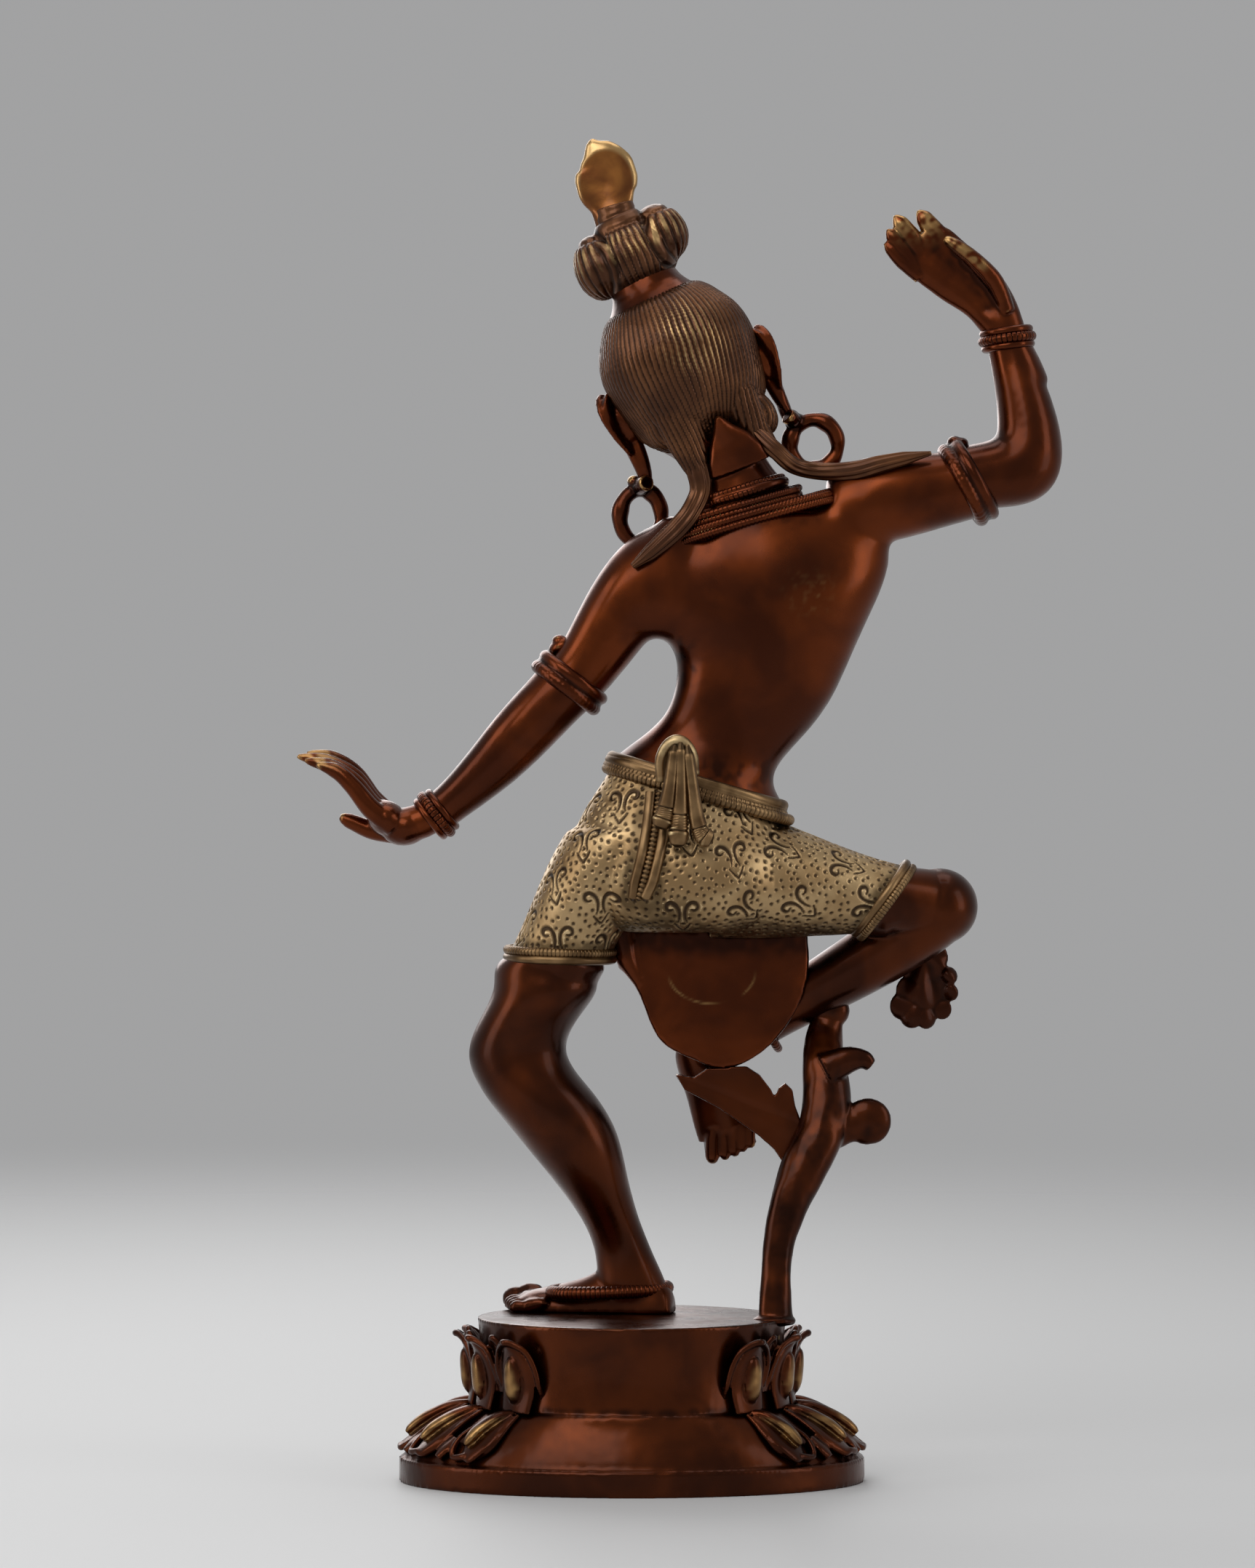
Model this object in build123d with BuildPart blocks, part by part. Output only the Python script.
"""Brass dancing figure on an oval lotus pedestal, built as an assembly of separate castings.

Millimetres, +Z up. The origin is the centre of the pedestal's underside. The figure faces -Y.
Every form of the figure is lofted through oval slices: (x, y, z, half_across, half_deep, tilt),
where tilt turns the slice about Y, positive with its +X side higher. Castings that meet share a slice.
"""
from build123d import *
from math import atan2, cos, degrees, radians, sin
import os

# ---------------------------------------------------------------- pedestal sizes
rim_half_width = 58.2
rim_half_depth = 41.0
rim_height = 6.2
slope_top = 19.2
pedestal_height = 41.0
drum_half_width = 38.6
drum_half_depth = 35.5
drum_waist = 0.7
drum_foot_flare = 0.8
slope_reach = [(0.0, 0.8, 0.8), (4.0, 4.2, 2.0), (8.5, 10.0, 3.6)]  # above the rim, in across, in deep
pedestal_wall = 3.5
base_plate_thickness = 1.2
base_plate_lip = 2.6

petal_pitch = 20.57
plain_back_half_angle = 46.3
upper_petal_half_width = 6.4
upper_petal_flare = 5.4
upper_petal_drop = 3.6
lower_petal_half_width = 7.4
petal_thickness = 2.2
boss_half_width = 2.7
boss_half_height = 4.8

# ---------------------------------------------------------------- ornament sizes
hem_roll = 1.3
belt_roll = 1.65
armlet_roll = 1.7
bracelet_roll = 1.45
anklet_roll = 1.75
necklace_roll = 1.35
seat_depth = 0.35
ring_clearance = 0.5
belt_clearance = 0.8
belt_flare = 1.4
raised_anklet_roll = 1.1
necklace_out = 0.67
pleat_strand = 1.15
pleat_relief = 1.5
earring_roll = 2.0
apron_thickness = 3.0
leaf_thickness = 2.8
stud_radius = 2.0
stud_into_foot = 5.0
stud_end = 1.5
nut_across_flats = 7.0
nut_height = 3.2
washer_radius = 4.4
washer_thickness = 0.8
rivet_radius = 1.6
rivet_head_radius = 2.6
rivet_head_height = 1.4
dowel_radius = 1.8
dowel_half_length = 5.0
thin_dowel_radius = 1.26

os.makedirs("parts", exist_ok=True)


# ---------------------------------------------------------------- helpers
def up(z):
    """Height above the pedestal's top turned into height above the origin."""
    return pedestal_height + z


def slice_plane(x, y, z, tilt=0.0):
    """Plane of one slice: its X runs across the form and its Y runs front to back."""
    turn = radians(tilt)
    return Plane(origin=(x, y, z), x_dir=(cos(turn), 0, sin(turn)), z_dir=(-sin(turn), 0, cos(turn)))


def oval(x, y, z, half_across, half_deep, tilt=0.0):
    """One oval slice."""
    with BuildSketch(slice_plane(x, y, z, tilt)) as one_slice:
        Ellipse(half_across, half_deep)
    return one_slice.sketch


def form(slices, mode=Mode.ADD):
    """Loft a smooth form through oval slices, inside the sub-part being built."""
    loft([oval(*each) for each in slices], mode=mode)


def direction_tilt(start, end):
    """Tilt of a slice square to the line from start to end."""
    return degrees(atan2(-(end[0] - start[0]), end[2] - start[2]))


def limb(stations):
    """Give each (x, y, z, half_across, half_deep) station the tilt of the path through it."""
    slices = []
    for index, station in enumerate(stations):
        before = stations[max(index - 1, 0)]
        after = stations[min(index + 1, len(stations) - 1)]
        slices.append((*station, direction_tilt(before, after)))
    return slices


def ring(slice_values, roll, lifts=(0.0,), out=None):
    """Round rolls about a slice, each lifted along its axis; out is the path's distance from the slice."""
    x, y, z, half_across, half_deep, tilt = slice_values
    plane = slice_plane(x, y, z, tilt)
    reach = roll * seat_depth if out is None else out
    with BuildLine(plane) as path:
        EllipticalCenterArc((0, 0), half_across + reach, half_deep + reach, arc_size=360)
    start = plane.from_local_coords(Vector(half_across + reach, 0, 0))
    with BuildSketch(Plane(origin=start, x_dir=plane.x_dir, z_dir=plane.y_dir)) as profile:
        with Locations(*[(0, -lift) for lift in lifts]):
            Circle(roll)
    sweep(sections=profile.sketch, path=path.line)


def drill(slice_values, radius=dowel_radius, half_length=dowel_half_length):
    """A dowel hole square to the joint face at a slice."""
    x, y, z, _, _, tilt = slice_values
    with Locations(slice_plane(x, y, z, tilt)):
        Cylinder(radius, 2 * half_length, mode=Mode.SUBTRACT)


def finish(builder, name):
    """Label a finished piece and write its file."""
    builder.part.label = name
    export_step(builder.part, f"parts/{name}.step")
    print(name, len(builder.part.solids()), round(builder.part.volume, 1))


# ---------------------------------------------------------------- pedestal
def pedestal_outline(inset):
    """Slices of the slope and the drum, drawn inward by inset."""
    slope = [(0, 0, rim_height + above, rim_half_width - narrower - inset, rim_half_depth - shallower - inset)
             for above, narrower, shallower in slope_reach]
    slope.append((0, 0, slope_top, drum_half_width + drum_foot_flare - inset,
                  drum_half_depth + drum_foot_flare - inset))
    middle = (slope_top + pedestal_height) / 2
    drum = [
        (0, 0, slope_top, drum_half_width - inset, drum_half_depth - inset),
        (0, 0, middle, drum_half_width - drum_waist - inset, drum_half_depth - drum_waist - inset),
        (0, 0, pedestal_height, drum_half_width - inset, drum_half_depth - inset),
    ]
    return slope, drum


with BuildPart() as pedestal_outer:
    outer_slope, outer_drum = pedestal_outline(0)
    with BuildSketch():
        Ellipse(rim_half_width, rim_half_depth)
    extrude(amount=rim_height)
    form(outer_slope)
    form(outer_drum)

with BuildPart() as pedestal:
    add(pedestal_outer.part)
    inner_slope, inner_drum = pedestal_outline(pedestal_wall)
    with BuildSketch():
        Ellipse(inner_slope[0][3], inner_slope[0][4])
    extrude(amount=rim_height, mode=Mode.SUBTRACT)
    form(inner_slope, mode=Mode.SUBTRACT)
    form([(*each[:2], min(each[2], pedestal_height - pedestal_wall), *each[3:]) for each in inner_drum],
         mode=Mode.SUBTRACT)
    with BuildSketch():
        Ellipse(rim_half_width - base_plate_lip, rim_half_depth - base_plate_lip)
    extrude(amount=base_plate_thickness, mode=Mode.SUBTRACT)

with BuildPart() as base_plate:
    with BuildSketch():
        Ellipse(rim_half_width - base_plate_lip, rim_half_depth - base_plate_lip)
    extrude(amount=base_plate_thickness)
finish(base_plate, "base_plate")


# ---------------------------------------------------------------- lotus petals
def petal_angles(first_offset):
    """Angles about Z of the petals, which leave the back bare."""
    angle = 90 + plain_back_half_angle + first_offset
    angles = []
    while angle <= 450 - plain_back_half_angle - first_offset + 0.1:
        angles.append(angle)
        angle += petal_pitch
    return angles


def rim_point(angle, half_width, half_depth):
    """Point on an oval at an angle, and the direction that faces outward there."""
    x = half_width * cos(radians(angle))
    y = half_depth * sin(radians(angle))
    outward = degrees(atan2(y / half_depth ** 2, x / half_width ** 2))
    return x, y, outward


def petal(angle, stations):
    """Loft a petal through flat ovals, each (height, out from drum, half width, half thickness, lean)."""
    x, y, outward = rim_point(angle, drum_half_width, drum_half_depth)
    sections = []
    for height, out, half_width, half_thickness, lean in stations:
        direction = Vector(cos(radians(outward)), sin(radians(outward)), 0)
        along = Vector(-direction.Y, direction.X, 0)
        origin = Vector(x, y, height) + direction * out
        normal = direction * sin(radians(lean)) + Vector(0, 0, cos(radians(lean)))
        with BuildSketch(Plane(origin=origin, x_dir=along, z_dir=normal)) as section:
            Ellipse(half_width, half_thickness)
        sections.append(section.sketch)
    loft(sections)


def bead(half_across, half_deep, half_high, location):
    """An oval bead at a location."""
    with BuildPart() as body:
        Sphere(1)
        scale(by=(half_across, half_deep, half_high))
    return body.part.moved(location)


def on_rim(angle, out, height, half_width, half_depth, lean):
    """Location on the oval wall: its X points outward, leaned up by lean."""
    x, y, outward = rim_point(angle, half_width, half_depth)
    place = (x + out * cos(radians(outward)), y + out * sin(radians(outward)), height)
    return Location(place, (0, 0, outward)) * Location((0, 0, 0), (0, lean, 0))


lower_shape = [
    (0.02, slope_top + 0.2, lower_petal_half_width * 0.42, petal_thickness * 0.8),
    (0.35, slope_top - 1.6, lower_petal_half_width * 0.7, petal_thickness),
    (0.65, slope_top - 5.2, lower_petal_half_width * 0.92, petal_thickness),
    (0.86, slope_top - 8.6, lower_petal_half_width * 0.8, petal_thickness * 0.9),
    (0.95, slope_top - 10.6, lower_petal_half_width * 0.35, petal_thickness * 0.5),
]
upper_angles = petal_angles(0)
tip_angles = petal_angles(petal_pitch / 2)
half_petal = petal_thickness / 2
upper_tip = pedestal_height - upper_petal_drop
upper_shape = [
    (slope_top + 0.8, 0.4, upper_petal_half_width * 0.62, half_petal, 0),
    (slope_top + 5, 1.4, upper_petal_half_width * 0.95, half_petal * 1.3, 8),
    (slope_top + 10, 2.6, upper_petal_half_width, half_petal * 1.3, 14),
    (slope_top + 14.5, 4.0, upper_petal_half_width * 0.72, half_petal * 1.1, 26),
    (upper_tip, upper_petal_flare + 0.6, upper_petal_half_width * 0.25, half_petal * 0.6, 50),
]
tip_shape = [
    (slope_top + 4, 0.2, upper_petal_half_width * 0.5, half_petal, 0),
    (slope_top + 12, 1.2, upper_petal_half_width * 0.6, half_petal, 6),
    (upper_tip + 0.6, 2.6, upper_petal_half_width * 0.2, half_petal * 0.6, 20),
]
boss_height = slope_top + 9.2
boss_out = 3.2

with BuildPart() as upper_petals:
    for each_angle in tip_angles:
        petal(each_angle, tip_shape)
    for each_angle in upper_angles:
        petal(each_angle, upper_shape)
        add(bead(1.9, boss_half_width, boss_half_height,
                 on_rim(each_angle, boss_out, boss_height, drum_half_width, drum_half_depth, 12)))
    add(pedestal_outer.part, mode=Mode.SUBTRACT)
finish(upper_petals, "upper_petals")

with BuildPart() as lower_petals:
    for each_angle in upper_angles:
        inner_x, inner_y, _ = rim_point(each_angle, drum_half_width, drum_half_depth)
        outer_x, outer_y, _ = rim_point(each_angle, rim_half_width, rim_half_depth)
        down = Vector(outer_x - inner_x, outer_y - inner_y, 0)
        across = Vector(-down.Y, down.X, 0).normalized()
        sections = []
        for share, height, half_width, half_thick in lower_shape:
            origin = Vector(inner_x, inner_y, height) + down * share
            with BuildSketch(Plane(origin=origin, x_dir=across, z_dir=down)) as section:
                Ellipse(half_width, half_thick)
            sections.append(section.sketch)
        loft(sections)
    add(pedestal_outer.part, mode=Mode.SUBTRACT)
    add(upper_petals.part, mode=Mode.SUBTRACT)
finish(lower_petals, "lower_petals")


# ---------------------------------------------------------------- figure: slices that castings share
belt_joint = (-15.7, 0, up(132.7), 21.8, 14.6, 16)
neck_joint = (-28.3, 1.5, up(203.4), 12.5, 9.5, -16)
standing_hem_joint = (18.0, -3, up(90.5), 13.0, 13.4, 0)
raised_hem_joint = (-63.2, -6, up(104.0), 10.6, 11.2, 127.6)
left_armlet_joint = (15.4, 0, up(158.7), 8.3, 8.0, -142.8)
right_armlet_joint = (-84.4, 0, up(208.6), 9.8, 9.4, 61.5)
left_wrist_joint = (49.0, -3, up(125.7), 5.1, 5.6, -129.0)
right_wrist_joint = (-93.9, -4, up(244.8), 5.3, 5.6, -8)

# ---------------------------------------------------------------- shorts
pelvis = [
    belt_joint,
    (-14.5, 0.5, up(122), 26.5, 17.5, 12),
    (-13.5, 1.5, up(112), 29.0, 19.5, 6),
    (-13.5, 1.5, up(103), 25.0, 18.5, 2),
    (-13.0, 0.5, up(96.5), 14.0, 12.0, 0),
]
standing_thigh = [
    (-1.0, 0.5, up(122), 17.0, 16.0, 0),
    (4.8, 0, up(113), 16.2, 16.6, 0),
    (12.5, -1.5, up(101), 13.6, 14.8, 0),
    standing_hem_joint,
]
raised_thigh = [
    (-20, 0.5, up(112), 17.0, 17.0, 92),
    (-35.5, -1.0, up(109.2), 14.6, 15.2, 98),
    (-49.5, -3.2, up(106.2), 11.8, 12.8, 110),
    raised_hem_joint,
]

with BuildPart() as shorts:
    form(pelvis)
    form(standing_thigh)
    form(raised_thigh)
    drill(belt_joint)
    drill(standing_hem_joint)
    drill(raised_hem_joint)
finish(shorts, "shorts")

# ---------------------------------------------------------------- standing leg
standing_calf = [
    standing_hem_joint,
    (21.6, -3.5, up(83), 12.9, 12.6, 0),
    (25.4, -4.5, up(75), 12.3, 12.0, 0),
    (28.6, -6, up(65.4), 12.3, 11.4, 0),
    (24.4, -5.5, up(57), 13.6, 12.0, 0),
    (17.3, -6, up(46.8), 13.0, 12.2, 0),
    (11.0, -8, up(35), 9.8, 10.4, 0),
    (5.2, -10.5, up(23.2), 7.2, 7.8, 0),
    (1.7, -11.5, up(14), 7.4, 6.8, 0),
    (-0.4, -11.5, up(4), 8.8, 6.6, 0),
]
foot_turn = -14
foot_heel = (-4.5, -10.5, up(0))
foot_shape = [
    (-6.2, 3.0, 2.6), (-4.5, 7.0, 5.0), (0, 10.5, 6.2), (9, 12.5, 6.8), (15, 9.6, 7.2),
    (22, 7.2, 7.9), (29, 5.6, 8.4), (35, 4.3, 7.4), (38.5, 2.6, 4.4),
]


def foot_section(along, half_high, half_wide):
    """Upright oval slice of the standing foot, half of it below the sole."""
    turn = radians(foot_turn)
    direction = Vector(cos(turn), sin(turn), 0)
    with BuildSketch(Plane(origin=Vector(*foot_heel) + direction * along,
                           x_dir=Vector(-direction.Y, direction.X, 0), z_dir=direction)) as section:
        Ellipse(half_wide, half_high)
    return section.sketch


def foot_stud_points():
    """Where the two studs enter the sole."""
    turn = radians(foot_turn)
    return [(foot_heel[0] + d * cos(turn), foot_heel[1] + d * sin(turn)) for d in (3.0, 18.0)]


with BuildPart() as standing_leg:
    form(standing_calf)
    loft([foot_section(*each) for each in foot_shape])
    split(bisect_by=Plane.XY.offset(pedestal_height), keep=Keep.TOP)
    drill(standing_hem_joint)
    for stud_x, stud_y in foot_stud_points():
        with Locations((stud_x, stud_y, pedestal_height)):
            Cylinder(stud_radius, 2 * stud_into_foot, mode=Mode.SUBTRACT)
finish(standing_leg, "standing_leg")

# ---------------------------------------------------------------- raised leg
knee = (-77.4, -9.5, up(102.4))
knee_radius = 9.6
raised_calf = [
    (-77.0, -9.5, up(101.5), 8.8, 8.8),
    (-68.0, -11.0, up(94.8), 8.8, 8.8),
    (-58.0, -13.0, up(88.0), 8.0, 8.4),
    (-46.0, -15.5, up(80.8), 7.0, 7.4),
    (-36.0, -17.8, up(74.4), 5.9, 6.2),
    (-27.0, -19.5, up(68.4), 5.4, 5.6),
    (-20.0, -20.5, up(64.0), 5.6, 5.4),
]
hanging_foot = [
    (-17.4, -19.0, up(67.5), 5.4, 5.0, 0),
    (-18.4, -19.4, up(62.5), 7.2, 6.2, 0),
    (-20.4, -21.0, up(54.5), 6.8, 4.8, 0),
    (-23.0, -23.0, up(46.5), 7.3, 3.8, 0),
    (-25.0, -24.2, up(39.6), 6.8, 2.6, 0),
    (-25.4, -24.6, up(36.8), 5.6, 1.4, 0),
]

with BuildPart() as raised_leg:
    form([raised_hem_joint, (*knee[:3], knee_radius - 0.6, knee_radius - 0.4, 100)])
    with Locations(knee):
        Sphere(knee_radius)
    form(limb(raised_calf))
    form(hanging_foot)
    add(shorts.part, mode=Mode.SUBTRACT)
    drill(raised_hem_joint)
finish(raised_leg, "raised_leg")

# ---------------------------------------------------------------- torso with upper arms
waist = (-21.6, 0, up(143.3), 15.8, 11.2, 22)
trunk = [
    belt_joint,
    (-18.6, 0, up(138), 18.4, 12.6, 20),
    waist,
    (-27.4, 0, up(151.5), 17.6, 11.6, 14),
    (-31.8, 0, up(161), 20.6, 13.0, 3),
    (-34.4, 0, up(173.5), 26.2, 14.4, -9),
    (-34.0, 0, up(186), 31.0, 14.4, -14),
    (-31.4, 0.8, up(195.6), 24.5, 12.0, -15.5),
    neck_joint,
]
left_upper_arm = [
    (-12.0, 0, up(191.0), 8.8, 9.0, -112),
    (-3.5, 0, up(184.6), 10.4, 9.8, -126),
    (5.0, 0, up(172.6), 9.4, 9.2, -146),
    left_armlet_joint,
]
right_upper_arm = [
    (-50.0, 0, up(200.0), 9.4, 10.0, 78),
    (-61.0, 0, up(204.2), 11.0, 10.4, 72),
    (-73.0, 0, up(206.4), 10.4, 9.8, 68),
    right_armlet_joint,
]

with BuildPart() as torso:
    form(trunk)
    form(left_upper_arm)
    form(right_upper_arm)
    drill(belt_joint)
    drill(neck_joint)
    drill(left_armlet_joint)
    drill(right_armlet_joint)
finish(torso, "torso")

# ---------------------------------------------------------------- forearms
left_arm = [
    left_armlet_joint,
    (21.0, 0.5, up(153.0), 7.8, 7.8, -139),
    (27.0, 0.5, up(146.6), 7.6, 7.4, -135),
    (38.0, -1.0, up(135.2), 6.2, 6.6, -132),
    left_wrist_joint,
]
right_arm = [
    right_armlet_joint,
    (-91.6, -0.5, up(210.8), 9.0, 9.0, 62),
    (-97.6, -1.0, up(213.6), 9.6, 8.6, 40),
    (-99.4, -1.8, up(221.6), 8.0, 7.8, 8),
    (-97.4, -3.0, up(232.4), 6.5, 6.8, -6),
    right_wrist_joint,
]

with BuildPart() as left_forearm:
    form(left_arm)
    drill(left_armlet_joint)
    drill(left_wrist_joint, thin_dowel_radius)
finish(left_forearm, "left_forearm")

with BuildPart() as right_forearm:
    form(right_arm)
    drill(right_armlet_joint)
    drill(right_wrist_joint, thin_dowel_radius)
finish(right_forearm, "right_forearm")

# ---------------------------------------------------------------- hands
left_palm = [
    left_wrist_joint,
    (54.5, -3.5, up(122.9), 4.4, 6.4, -104),
    (60.5, -4.0, up(124.0), 4.3, 8.0, -72),
    (66.0, -4.2, up(127.8), 4.0, 8.4, -58),
]
left_fingers = [
    (0.9, [(64.0, -10.0, 126.6), (69.4, -10.6, 131.8), (74.6, -10.4, 136.2), (80.6, -9.8, 137.8)]),
    (1.0, [(64.0, -6.2, 127.0), (69.6, -6.2, 133.4), (75.0, -6.0, 138.6), (83.6, -5.4, 140.4)]),
    (1.0, [(64.0, -2.2, 127.2), (69.6, -2.0, 133.2), (74.6, -1.8, 137.4), (82.0, -1.6, 139.0)]),
    (0.85, [(64.0, 1.8, 127.0), (69.0, 2.4, 131.8), (74.0, 2.6, 134.8), (79.4, 2.4, 136.0)]),
]
left_thumb = (1.0, [(55.0, -6.0, 122.6), (62.6, -11.4, 121.0), (68.4, -12.6, 122.4), (73.8, -12.0, 124.6)])
right_palm = [
    right_wrist_joint,
    (-92.0, -4.0, up(252.0), 6.2, 4.4, -24),
    (-86.6, -4.0, up(259.6), 7.6, 4.0, -42),
    (-79.0, -4.0, up(266.2), 7.6, 3.4, -54),
]
right_fingers = [
    (1.0, [(-82.6, -4.6, 268.0), (-77.4, -4.4, 272.4), (-71.4, -3.8, 276.4)]),
    (1.0, [(-80.4, -4.8, 265.8), (-73.6, -4.6, 270.8), (-65.8, -3.6, 275.0)]),
    (1.0, [(-78.4, -4.6, 263.0), (-71.4, -4.4, 267.6), (-64.4, -3.4, 271.6)]),
    (0.85, [(-77.0, -4.2, 260.0), (-70.4, -4.0, 264.0), (-63.8, -3.2, 267.6)]),
]
right_thumb = (1.0, [(-91.2, -2.6, 250.0), (-88.6, 0.6, 258.0), (-83.6, 1.6, 265.0), (-78.4, 1.6, 269.4)])
finger_radius = 2.25


def finger(thickness, points):
    """A tapering finger through its joints, rounded at the tip."""
    radius = finger_radius * thickness
    stations = [(x, y, up(z), radius * (1 - 0.1 * index), radius * (1 - 0.1 * index))
                for index, (x, y, z) in enumerate(points)]
    last = Vector(*stations[-1][:3])
    reach = (last - Vector(*stations[-2][:3])).normalized() * stations[-1][3]
    for share, shrink in ((0.55, 0.8), (0.9, 0.4)):
        place = last + reach * share
        stations.append((place.X, place.Y, place.Z, stations[len(points) - 1][3] * shrink,
                         stations[len(points) - 1][4] * shrink))
    form(limb(stations))


def hand(palm, fingers, thumb, joint):
    """Palm, four fingers and a thumb in the sub-part being built."""
    form(palm)
    finger(*thumb)
    for each in fingers:
        finger(*each)
    drill(joint, thin_dowel_radius)


with BuildPart() as left_hand:
    hand(left_palm, left_fingers, left_thumb, left_wrist_joint)
finish(left_hand, "left_hand")

with BuildPart() as right_hand:
    hand(right_palm, right_fingers, right_thumb, right_wrist_joint)
finish(right_hand, "right_hand")

# ---------------------------------------------------------------- head
head_centre = (-11.6, -3.0, up(240.0))
head_tilt = -24.8


def head_place(across, forward, high):
    """Point given in the head's own frame: across to +X, forward to the face, high to the crown."""
    turn = radians(head_tilt)
    return (head_centre[0] + across * cos(turn) - high * sin(turn),
            head_centre[1] - forward,
            head_centre[2] + across * sin(turn) + high * cos(turn))


def head_slice(high, half_across, half_deep, forward=0.0, across=0.0):
    """Slice square to the head's long axis."""
    return (*head_place(across, forward, high), half_across, half_deep, head_tilt)


def head_location(across, forward, high, lean=0.0):
    """Location in the head's frame."""
    return Location(head_place(across, forward, high), (0, -head_tilt + lean, 0))


hair_thickness = 1.4
band_rib_height = 17.7
band_rib_roll = 1.5
hair_shape = [
    (16.0, 11.3, 11.6, -2.0), (13.0, 15.0, 15.6, -2.0), (8.0, 18.2, 19.2, -1.5),
    (2.0, 20.0, 21.4, -1.0), (-5.0, 19.6, 21.0, -0.5), (-12.0, 18.3, 19.4, 0.5),
    (-18.0, 16.0, 16.6, 2.0), (-23.0, 12.6, 13.0, 3.5),
]
band_joint = head_slice(16.0, 11.3, 11.6, -2.0)
knot_joint = head_slice(20.6, 8.6, 8.8, -2.0)
finial_joint = head_slice(40.0, 4.2, 3.6, -2.0)
jaw_shape = [
    (-4.0, 16.4, 17.0, 3.0), (-12.0, 15.6, 16.6, 3.6), (-18.0, 13.6, 15.0, 5.0),
    (-23.0, 10.6, 12.0, 7.4), (-27.0, 6.0, 6.6, 11.0),
]

with BuildPart() as hair_outer:
    form([head_slice(*each) for each in hair_shape])

with BuildPart() as head:
    form([head_slice(high, across - hair_thickness, deep - hair_thickness, forward)
          for high, across, deep, forward in hair_shape])
    form([head_slice(*each) for each in jaw_shape])
    form([neck_joint, (-25.6, 1.0, up(210.5), 9.2, 8.6, -20), (-21.6, 0.5, up(220.0), 9.4, 9.0, -22)])
    add(bead(2.3, 3.0, 6.0, head_location(0, 19.6, -9.0, 0)))
    add(bead(3.4, 1.6, 1.3, head_location(0, 19.4, -17.6, 0)))
    for side in (-1, 1):
        add(bead(2.6, 3.6, 6.4, head_location(side * 18.9, 1.0, -8.5, side * 6)))
        add(bead(1.6, 2.2, 7.4, head_location(side * 18.6, 1.6, -18.4, side * -7)))
    drill(neck_joint)
    drill(band_joint)
finish(head, "head")

hairline = Plane(origin=head_place(0, 8.0, 0), x_dir=(0, 0, 1),
                 z_dir=Vector(sin(radians(-head_tilt)) * 0.55, 1, cos(radians(-head_tilt)) * 0.55))
with BuildPart() as hair_cap:
    add(hair_outer.part)
    split(bisect_by=hairline, keep=Keep.TOP)
    add(head.part, mode=Mode.SUBTRACT)
    drill(band_joint)
finish(hair_cap, "hair_cap")

with BuildPart() as hair_band:
    form([band_joint, head_slice(18.4, 9.6, 9.8, -2.0), knot_joint])
    ring(head_slice(band_rib_height, 10.4, 10.7, -2.0), band_rib_roll)
    add(hair_cap.part, mode=Mode.SUBTRACT)
    add(head.part, mode=Mode.SUBTRACT)
    drill(band_joint)
    drill(knot_joint)
finish(hair_band, "hair_band")

knot_shape = [
    knot_joint, head_slice(23.0, 10.8, 10.6, -2.0), head_slice(28.0, 12.2, 12.0, -2.0),
    head_slice(33.5, 9.6, 9.8, -2.0), head_slice(37.0, 5.4, 5.2, -2.0), finial_joint,
]
with BuildPart() as topknot:
    form(knot_shape)
    add(bead(5.8, 7.6, 7.4, head_location(8.6, -2.0, 27.6)))
    add(bead(5.8, 7.6, 7.4, head_location(-8.6, -2.0, 29.4)))
    split(bisect_by=slice_plane(*knot_joint[:3], head_tilt), keep=Keep.TOP)
    add(hair_band.part, mode=Mode.SUBTRACT)
    drill(knot_joint)
    drill(finial_joint, thin_dowel_radius)
finish(topknot, "topknot")

finial_lean = -8
finial_base = finial_joint[:3]
finial_rise = 20.0
finial_shape = [
    finial_joint,
    (finial_base[0] + 0.4, finial_base[1], finial_base[2] + 3.0, 4.6, 3.0, -20),
    (finial_base[0] + 0.2, finial_base[1], finial_base[2] + 7.8, 7.4, 3.2, finial_lean),
    (finial_base[0] - 0.6, finial_base[1], finial_base[2] + 12.0, 6.4, 2.8, -4),
    (finial_base[0] - 0.2, finial_base[1], finial_base[2] + 15.8, 3.2, 1.9, 0),
    (finial_base[0] + 0.8, finial_base[1], finial_base[2] + finial_rise - 1.4, 0.9, 0.8, 0),
]
with BuildPart() as finial:
    form(finial_shape)
    drill(finial_joint, thin_dowel_radius)
finish(finial, "finial")

# ---------------------------------------------------------------- rings on the limbs
def seated_ring(slice_values, roll, seats, lifts=(0.0,), out=None):
    """Rolls round a limb, cut to lie on their seats."""
    with BuildPart() as rolls:
        ring(slice_values, roll, lifts, out)
        for seat in seats:
            add(seat, mode=Mode.SUBTRACT)
    return rolls.part


def loose_ring(slice_values, roll, clearance):
    """A double roll slipped over a limb with a little room all round."""
    with BuildPart() as rolls:
        ring(slice_values, roll, (-roll * 0.6, roll * 0.6), roll + clearance)
    return rolls.part


for hem_name, hem_joint, hem_leg in (("standing_hem", standing_hem_joint, standing_leg.part),
                                     ("raised_hem", raised_hem_joint, raised_leg.part)):
    with BuildPart() as hem:
        add(seated_ring(hem_joint, hem_roll, [shorts.part, hem_leg], (-hem_roll * 0.7, hem_roll * 0.7)))
    finish(hem, hem_name)

belt_axis = slice_plane(*belt_joint[:3], belt_joint[5]).z_dir


def belt_slice(lift, grow):
    """Slice beside the belt's joint, lifted along its axis and grown all round."""
    return (belt_joint[0] + belt_axis.X * lift, belt_joint[1], belt_joint[2] + belt_axis.Z * lift,
            belt_joint[3] + grow, belt_joint[4] + grow, belt_joint[5])


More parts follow.
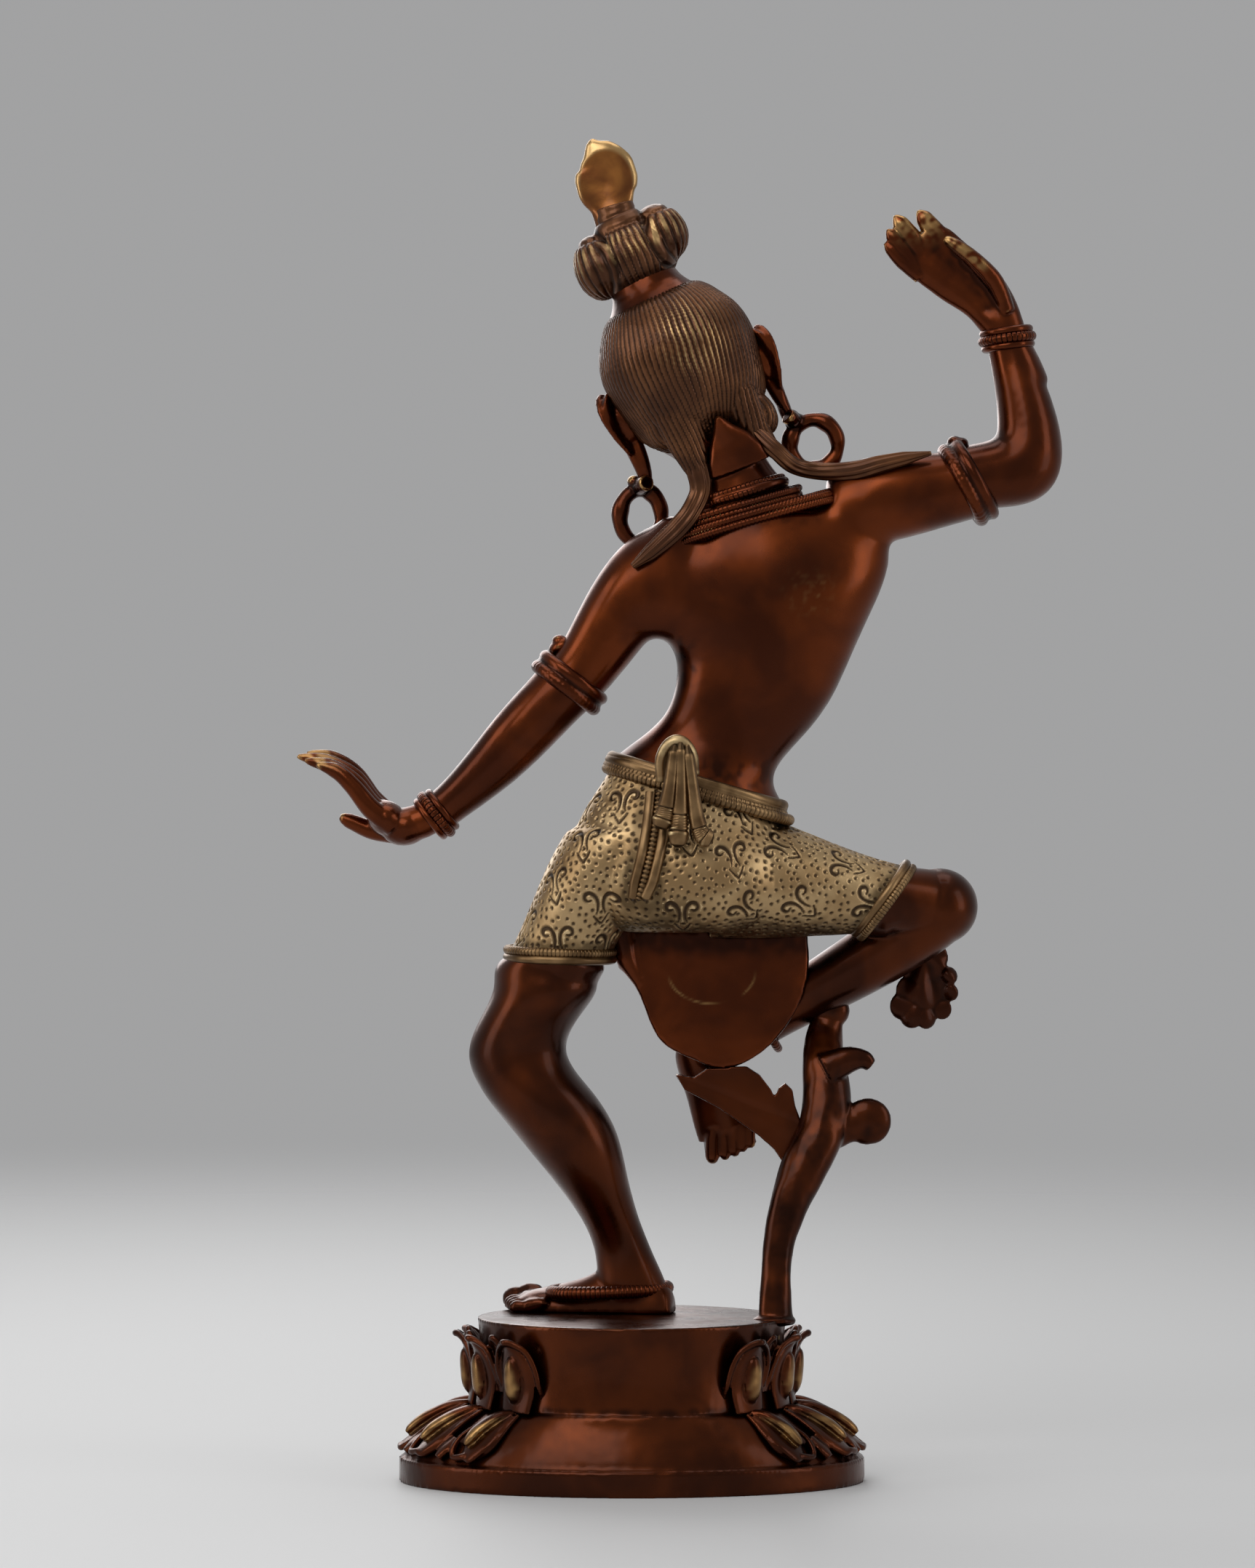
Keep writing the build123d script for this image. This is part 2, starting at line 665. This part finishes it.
with BuildPart() as belt_rolls:
    ring(belt_slice(belt_roll * 0.9, 0), belt_roll, out=belt_roll + belt_clearance)
    ring(belt_slice(-belt_roll * 0.9, belt_flare), belt_roll, out=belt_roll + belt_clearance)
finish(belt_rolls, "belt")
belt = belt_rolls.part

for ring_name, ring_joint, ring_roll in (("left_armlet", left_armlet_joint, armlet_roll),
                                         ("right_armlet", right_armlet_joint, armlet_roll),
                                         ("left_bracelet", left_wrist_joint, bracelet_roll),
                                         ("right_bracelet", right_wrist_joint, bracelet_roll)):
    with BuildPart() as limb_ring:
        add(loose_ring(ring_joint, ring_roll, ring_clearance))
    finish(limb_ring, ring_name)

with BuildPart() as anklet:
    add(seated_ring((5.6, -12.2, up(5.6), 14.2, 8.4, -3), anklet_roll, [standing_leg.part]))
finish(anklet, "anklet")

with BuildPart() as raised_anklet:
    add(loose_ring((-33.0, -18.4, up(72.5), 5.8, 6.0, -123), raised_anklet_roll, ring_clearance))
finish(raised_anklet, "raised_anklet")

necklace_slices = [
    (-28.3, 0.4, up(206.4), 10.6, 9.9, -17),
    (-28.8, -1.0, up(202.6), 14.9, 12.6, -17),
    (-29.2, -1.8, up(199.6), 18.4, 14.2, -16),
]
necklace_seats = [torso.part, head.part]
necklace_rolls = [seated_ring(each, necklace_roll, necklace_seats, out=necklace_out)
                  for each in necklace_slices]
with BuildPart() as necklaces:
    for roll_body in necklace_rolls:
        add(roll_body)
finish(necklaces, "necklaces")


def earring_piece(name, centre, half_wide, half_high, tilt):
    """An upright oval loop that hangs from the ear lobe."""
    turn = radians(tilt)
    plane = Plane(origin=centre, x_dir=(cos(turn), 0, sin(turn)), z_dir=(0, 1, 0))
    with BuildPart() as loop:
        with BuildLine(plane) as path:
            EllipticalCenterArc((0, 0), half_wide, half_high, arc_size=360)
        with BuildSketch(path.line ^ 0) as profile:
            Circle(earring_roll)
        sweep(sections=profile.sketch, path=path.line)
        add(head.part, mode=Mode.SUBTRACT)
        add(torso.part, mode=Mode.SUBTRACT)
        add(necklaces.part, mode=Mode.SUBTRACT)
    finish(loop, name)
    return loop.part


left_earring = earring_piece("left_earring", (-2.2, -7.6, up(200.4)), 5.2, 6.8, 6)
right_earring = earring_piece("right_earring", (-45.6, -5.0, up(218.4)), 6.0, 6.2, 0)

# ---------------------------------------------------------------- hair locks on the shoulders
def lock_piece(name, stations, seats):
    """A flattened lock of hair lying along the neck and shoulder."""
    with BuildPart() as lock:
        form(limb(stations))
        for seat in seats:
            add(seat, mode=Mode.SUBTRACT)
    finish(lock, name)


lock_seats = [torso.part, head.part, hair_cap.part, necklaces.part]
lock_piece("right_hair_lock", [
    (-33.0, 8.0, up(223.0), 2.0, 1.8), (-38.5, 8.0, up(217.0), 2.6, 2.2), (-46.0, 6.0, up(212.5), 2.6, 2.2),
    (-56.0, 3.0, up(213.4), 2.2, 2.0), (-68.0, 1.0, up(215.8), 1.8, 1.8), (-76.0, 0.0, up(217.6), 1.2, 1.2),
], [*lock_seats, right_earring])
lock_piece("left_hair_lock", [
    (-16.4, 9.0, up(218.0), 1.8, 1.6), (-15.6, 9.6, up(208.0), 2.4, 2.0), (-10.6, 8.4, up(199.6), 2.4, 2.2),
    (-4.6, 7.0, up(192.6), 2.0, 2.0), (-1.6, 6.4, up(188.6), 1.0, 1.0),
], [*lock_seats, left_earring])

# ---------------------------------------------------------------- dress details on the back
pleat_top = (-6.6, up(132.0))
pleat_foot = (-1.9, up(103.4))
pleat_tilt = direction_tilt((pleat_top[0], 0, pleat_top[1]), (pleat_foot[0], 0, pleat_foot[1])) + 180
pelvis_skin = [(x, y, z, across + pleat_relief, deep + pleat_relief, tilt)
               for x, y, z, across, deep, tilt in pelvis]

with BuildPart() as centre_pleat:
    form(pelvis_skin)
    pleat_middle = ((pleat_top[0] + pleat_foot[0]) / 2, 15, (pleat_top[1] + pleat_foot[1]) / 2)
    with Locations(slice_plane(*pleat_middle, pleat_tilt)):
        Box(pleat_strand * 5.8, 30, abs(pleat_top[1] - pleat_foot[1]), mode=Mode.INTERSECT)
    add(shorts.part, mode=Mode.SUBTRACT)
    add(belt, mode=Mode.SUBTRACT)
finish(centre_pleat, "centre_pleat")

tassel_shape = [
    (-13.0, 17.2, up(139.5), 2.6, 1.5), (-14.4, 19.2, up(136), 3.8, 1.7), (-14.2, 20.0, up(130), 3.4, 1.7),
    (-14.2, 21.4, up(123), 3.6, 1.8), (-14.2, 22.8, up(117), 4.4, 2.0), (-14.4, 23.6, up(112.4), 4.8, 1.8),
]
with BuildPart() as sash_tassel:
    form(limb(tassel_shape))
    for neighbour in (shorts.part, torso.part, belt, centre_pleat.part):
        add(neighbour, mode=Mode.SUBTRACT)
finish(sash_tassel, "sash_tassel")

apron_top = up(104.0)
apron_tip = up(62.0)
apron_face = -3.4
apron_middle = -20.0
apron_bulge_radius = 60.0
apron_left = (3.4, up(87.0))
apron_right = (-44.2, up(93.0))
apron_hem = [apron_left, (-2.3, up(79.4)), (-7.9, up(68.3)), (-15.0, up(64.3)), (-23.5, apron_tip),
             (-31.0, up(64.8)), (-38.5, up(71.9)), (-42.7, up(79.4)), apron_right]
cut_depth = 40.0
with BuildPart() as apron:
    with BuildSketch(Plane.XZ.offset(-cut_depth / 2)):
        with BuildLine():
            Polyline(apron_right, (-44.0, apron_top), (2.0, apron_top), apron_left)
            Spline(*apron_hem)
        make_face()
    extrude(amount=cut_depth)
    with BuildSketch(Plane.XY.offset(apron_tip - apron_thickness)):
        with Locations((apron_middle, apron_face - apron_bulge_radius)):
            Circle(apron_bulge_radius)
            Circle(apron_bulge_radius - apron_thickness, mode=Mode.SUBTRACT)
    extrude(amount=apron_top - apron_tip + 2 * apron_thickness, mode=Mode.INTERSECT)
    for neighbour in (shorts, standing_leg, raised_leg):
        add(neighbour.part, mode=Mode.SUBTRACT)
finish(apron, "apron")

sash_face = -14.2
sash_outline = [
    (-72.0, up(92.0)), (-66.8, up(86.0)), (-64.8, up(77.0)), (-68.0, up(73.0)), (-71.0, up(75.0)),
    (-73.6, up(71.8)), (-76.4, up(75.6)), (-80.0, up(75.0)), (-80.4, up(79.6)), (-82.4, up(82.4)),
    (-80.6, up(86.0)), (-82.2, up(90.2)), (-78.0, up(93.0)), (-72.0, up(92.0)),
]
with BuildPart() as sash_end:
    with BuildSketch(Plane(origin=(0, sash_face, 0), x_dir=(1, 0, 0), z_dir=(0, -1, 0))):
        with BuildLine():
            Spline(*sash_outline)
        make_face()
    extrude(amount=apron_thickness)
    add(raised_leg.part, mode=Mode.SUBTRACT)
finish(sash_end, "sash_end")

# ---------------------------------------------------------------- tree
tree_foot = (-34.2, 9.0, up(0))
trunk_path = [
    (*tree_foot, 4.8, 5.0, 0), (-35.9, 7.2, up(13.5), 4.4, 4.4, 4), (-37.2, 5.8, up(21.5), 4.2, 4.2, 12),
    (-40.8, 3.6, up(30), 4.6, 4.4, 22), (-44.6, 1.0, up(38.5), 5.2, 4.8, 24),
    (-48.4, -2.0, up(46.5), 5.0, 4.8, 10), (-49.0, -5.4, up(56), 5.2, 4.8, 0),
    (-48.4, -9.2, up(66), 4.8, 4.6, 0), (-49.0, -13.0, up(73.6), 5.2, 4.8, -33),
]
twig_path = [(-50.0, -5.6, up(57), 3.0, 3.0), (-54.6, -5.0, up(61.6), 2.4, 2.4),
             (-60.2, -4.4, up(63.8), 1.5, 1.5)]
low_twig_path = [(-48.6, -3.0, up(47), 3.2, 3.0), (-53.6, -2.0, up(49.2), 2.2, 2.2),
                 (-58.2, -1.4, up(49.0), 2.2, 2.0)]
low_twig_pad = bead(5.2, 2.6, 4.8, Location((-60.3, -1.2, up(48.5))))

with BuildPart() as tree:
    form(trunk_path)
    form(limb(twig_path))
    form(limb(low_twig_path))
    add(low_twig_pad)
finish(tree, "tree")

leaf_face = -3.2
leaf_outline = [
    (-10.6, up(60.6)), (-15.6, up(59.7)), (-18.8, up(61.9)), (-28.8, up(62.4)), (-32.1, up(60.3)),
    (-35.0, up(56.4)), (-35.7, up(54.4)), (-36.8, up(57.0)), (-38.5, up(58.3)), (-40.3, up(56.5)),
    (-41.0, up(52.5)), (-42.3, up(48.9)), (-44.6, up(44.0)), (-44.0, up(38.0)), (-37.9, up(38.2)),
    (-35.6, up(41.5)), (-32.1, up(44.8)), (-21.6, up(52.1)), (-13.2, up(56.6)),
]
with BuildPart() as tree_leaf:
    with BuildSketch(Plane(origin=(0, leaf_face, 0), x_dir=(1, 0, 0), z_dir=(0, -1, 0))):
        with BuildLine():
            Polyline(*leaf_outline, close=True)
        make_face()
    extrude(amount=leaf_thickness)
    for neighbour in (tree, apron, raised_leg):
        add(neighbour.part, mode=Mode.SUBTRACT)
finish(tree_leaf, "tree_leaf")

# ---------------------------------------------------------------- fixings through the pedestal
upright = (Align.CENTER, Align.CENTER, Align.MIN)
under_top = pedestal_height - pedestal_wall
stud_length = stud_into_foot + pedestal_wall + washer_thickness + nut_height + stud_end
with BuildPart() as foot_studs:
    with Locations(*[(x, y, pedestal_height + stud_into_foot - stud_length) for x, y in foot_stud_points()]):
        Cylinder(stud_radius, stud_length, align=upright)
finish(foot_studs, "foot_studs")

with BuildPart() as foot_washers:
    with Locations(*[(x, y, under_top - washer_thickness) for x, y in foot_stud_points()]):
        Cylinder(washer_radius, washer_thickness, align=upright)
        Cylinder(stud_radius, washer_thickness, align=upright,
                 mode=Mode.SUBTRACT)
finish(foot_washers, "foot_washers")

with BuildPart() as foot_nuts:
    with BuildSketch(Plane.XY.offset(under_top - washer_thickness - nut_height)):
        with Locations(*foot_stud_points()):
            RegularPolygon(nut_across_flats / 2, 6, major_radius=False)
            Circle(stud_radius, mode=Mode.SUBTRACT)
    extrude(amount=nut_height)
finish(foot_nuts, "foot_nuts")

with BuildPart() as tree_rivet:
    with Locations((*tree_foot[:2], under_top)):
        Cylinder(rivet_radius, pedestal_wall, align=upright)
    with Locations((*tree_foot[:2], under_top - rivet_head_height)):
        Cylinder(rivet_head_radius, rivet_head_height, align=upright)
finish(tree_rivet, "tree_rivet")

with BuildPart() as top_holes:
    with Locations(*[(x, y, under_top - 1) for x, y in foot_stud_points()]):
        Cylinder(stud_radius, pedestal_wall + 2, align=upright)
    with Locations((*tree_foot[:2], under_top - 1)):
        Cylinder(rivet_radius, pedestal_wall + 2, align=upright)

with BuildPart() as finished_pedestal:
    add(pedestal.part)
    add(top_holes.part, mode=Mode.SUBTRACT)
    add(tree_rivet.part, mode=Mode.SUBTRACT)
finish(finished_pedestal, "pedestal")

wide_joints = [belt_joint, neck_joint, standing_hem_joint, raised_hem_joint,
               left_armlet_joint, right_armlet_joint, head_slice(18.3, 9.6, 9.8, -2.0)]
thin_joints = [left_wrist_joint, right_wrist_joint, finial_joint]
with BuildPart() as dowel_pins:
    for radius, joints in ((dowel_radius, wide_joints), (thin_dowel_radius, thin_joints)):
        for joint in joints:
            with Locations(slice_plane(*joint[:3], joint[5])):
                Cylinder(radius, 2 * dowel_half_length)
finish(dowel_pins, "dowel_pins")
